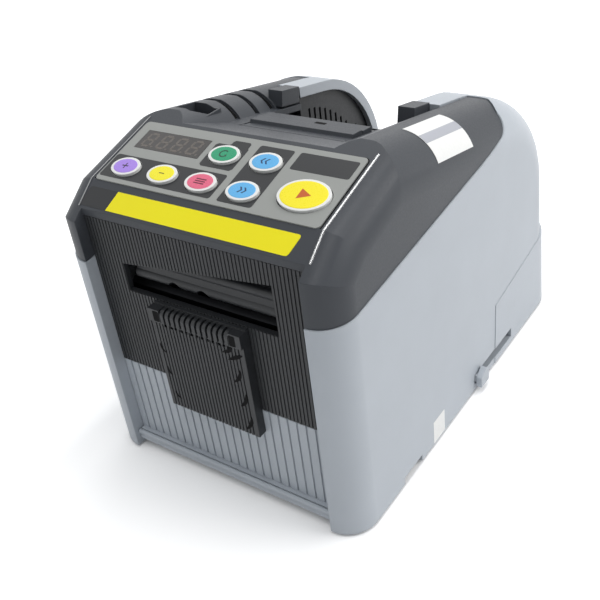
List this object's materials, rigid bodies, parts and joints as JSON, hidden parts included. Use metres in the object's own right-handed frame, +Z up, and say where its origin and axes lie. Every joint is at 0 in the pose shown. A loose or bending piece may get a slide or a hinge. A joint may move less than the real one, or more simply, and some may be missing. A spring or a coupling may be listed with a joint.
{
  "type": "electric tape dispenser",
  "caption": "Desktop electric tape dispenser with a sloped key panel, hinged feed lid, open tape well between rear humps, front outlet with guillotine cutter and a ribbed exit guide.",
  "frame": {"origin": "middle of the footprint on the table", "axes": "+X to the right seen from the front, +Y from the front outlet to the back, +Z up"},
  "size_m": [0.1406, 0.213, 0.15],
  "materials": {
    "light_plastic": "fine moulded texture",
    "dark_plastic": "fine moulded texture",
    "black_plastic": "satin",
    "overlay_film": "satin film",
    "display_tint": "smoked clear plastic",
    "display_black": "moulded module",
    "board_green": "solder mask",
    "steel": "brushed",
    "motor_metal": "zinc plated",
    "gear_nylon": "natural nylon",
    "bronze": "sintered",
    "roller_rubber": "ground rubber",
    "key_violet": "printed film",
    "key_yellow": "printed film",
    "key_pink": "printed film",
    "key_green": "printed film",
    "key_blue": "printed film"
  },
  "bodies": {
    "housing": {"base_plate": "dark_plastic", "left_shell": "light_plastic", "right_shell": "light_plastic", "top_cover": "dark_plastic", "front_panel": "black_plastic", "lower_panel": "light_plastic", "front_lip": "light_plastic", "exit_guide": "black_plastic", "well_trough": "dark_plastic", "left_well_panel": "black_plastic", "right_well_panel": "black_plastic", "rear_panel": "light_plastic", "control_overlay": "overlay_film", "display_window": "display_tint", "display_module": "display_black", "control_board": "board_green", "main_board": "board_green", "power_supply": "motor_metal", "power_inlet": "black_plastic", "switch_housing": "black_plastic", "left_frame": "steel", "right_frame": "steel", "frame_ties": "steel", "tape_guide": "steel", "fixed_blade": "steel", "cutter_solenoid": "motor_metal", "feed_motor": "motor_metal", "feed_bushes": "bronze", "lid_pin": "steel", "feet": "roller_rubber", "base_screws": "steel"},
    "cutter": {"blade_carriage": "steel", "moving_blade": "steel", "solenoid_plunger": "steel"},
    "feed_drum": {"feed_shaft": "steel", "feed_roller": "roller_rubber", "feed_gear": "gear_nylon"},
    "pinion": {"motor_pinion": "bronze"},
    "pinch": {"pinch_roller": "gear_nylon"},
    "guard_bar": {"press_bar": "black_plastic"},
    "lid": {"feed_lid": "dark_plastic"},
    "idler_front": {"front_idler": "gear_nylon"},
    "idler_rear": {"rear_idler": "gear_nylon"},
    "latch": {"side_latch": "light_plastic"},
    "rocker": {"power_rocker": "black_plastic"},
    "key_plus": {"key_plus": "key_violet"},
    "key_minus": {"key_minus": "key_yellow"},
    "key_select": {"key_select": "key_pink"},
    "key_auto": {"key_auto": "key_green"},
    "key_reverse": {"key_reverse": "key_blue"},
    "key_forward": {"key_forward": "key_blue"},
    "key_start": {"key_start": "key_yellow"}
  },
  "joints": [
    {"name": "cutter_slide", "type": "slide", "parent": "housing", "child": "cutter", "axis": [0, 0, -1], "range_m": [0, 0.014], "stiffness_N_per_m": 400, "springref_m": -0.006},
    {"name": "feed_spin", "type": "hinge", "parent": "housing", "child": "feed_drum", "pos_m": [0, -0.0205, 0.104], "axis": [1, 0, 0], "continuous": true},
    {"name": "pinion_spin", "type": "hinge", "parent": "housing", "child": "pinion", "pos_m": [0, -0.03159, 0.07586], "axis": [1, 0, 0], "continuous": true},
    {"name": "pinch_spin", "type": "hinge", "parent": "housing", "child": "pinch", "pos_m": [0, -0.0205, 0.11935], "axis": [1, 0, 0], "continuous": true},
    {"name": "guard_swing", "type": "hinge", "parent": "housing", "child": "guard_bar", "pos_m": [0, -0.0939, 0.1062], "axis": [-1, 0, 0], "range_deg": [0, 20]},
    {"name": "lid_hinge", "type": "hinge", "parent": "housing", "child": "lid", "pos_m": [0, -0.0271, 0.13657], "axis": [1, 0, 0], "range_deg": [0, 80]},
    {"name": "front_idler_spin", "type": "hinge", "parent": "housing", "child": "idler_front", "pos_m": [0, 0.027, 0.05324], "axis": [1, 0, 0], "continuous": true},
    {"name": "rear_idler_spin", "type": "hinge", "parent": "housing", "child": "idler_rear", "pos_m": [0, 0.067, 0.05324], "axis": [1, 0, 0], "continuous": true},
    {"name": "latch_slide", "type": "slide", "parent": "housing", "child": "latch", "axis": [0, 1, 0], "range_m": [0, 0.034]},
    {"name": "rocker_tilt", "type": "hinge", "parent": "housing", "child": "rocker", "pos_m": [0.016, 0.09954, 0.026], "axis": [-1, 0, 0], "range_deg": [0, 16]},
    {"name": "key_plus_press", "type": "slide", "parent": "housing", "child": "key_plus", "axis": [0, 0.279, -0.9603], "range_m": [0, 0.0006], "stiffness_N_per_m": 600, "springref_m": -0.0005},
    {"name": "key_minus_press", "type": "slide", "parent": "housing", "child": "key_minus", "axis": [0, 0.279, -0.9603], "range_m": [0, 0.0006], "stiffness_N_per_m": 600, "springref_m": -0.0005},
    {"name": "key_select_press", "type": "slide", "parent": "housing", "child": "key_select", "axis": [0, 0.279, -0.9603], "range_m": [0, 0.0006], "stiffness_N_per_m": 600, "springref_m": -0.0005},
    {"name": "key_auto_press", "type": "slide", "parent": "housing", "child": "key_auto", "axis": [0, 0.279, -0.9603], "range_m": [0, 0.0006], "stiffness_N_per_m": 600, "springref_m": -0.0005},
    {"name": "key_reverse_press", "type": "slide", "parent": "housing", "child": "key_reverse", "axis": [0, 0.279, -0.9603], "range_m": [0, 0.0006], "stiffness_N_per_m": 600, "springref_m": -0.0005},
    {"name": "key_forward_press", "type": "slide", "parent": "housing", "child": "key_forward", "axis": [0, 0.279, -0.9603], "range_m": [0, 0.0006], "stiffness_N_per_m": 600, "springref_m": -0.0005},
    {"name": "key_start_press", "type": "slide", "parent": "housing", "child": "key_start", "axis": [0, 0.279, -0.9603], "range_m": [0, 0.0006], "stiffness_N_per_m": 600, "springref_m": -0.0005}
  ],
  "couplings": [
    {"joint": "pinion_spin", "follows": "feed_spin", "ratio": -3},
    {"joint": "pinch_spin", "follows": "feed_spin", "ratio": -1.5}
  ]
}
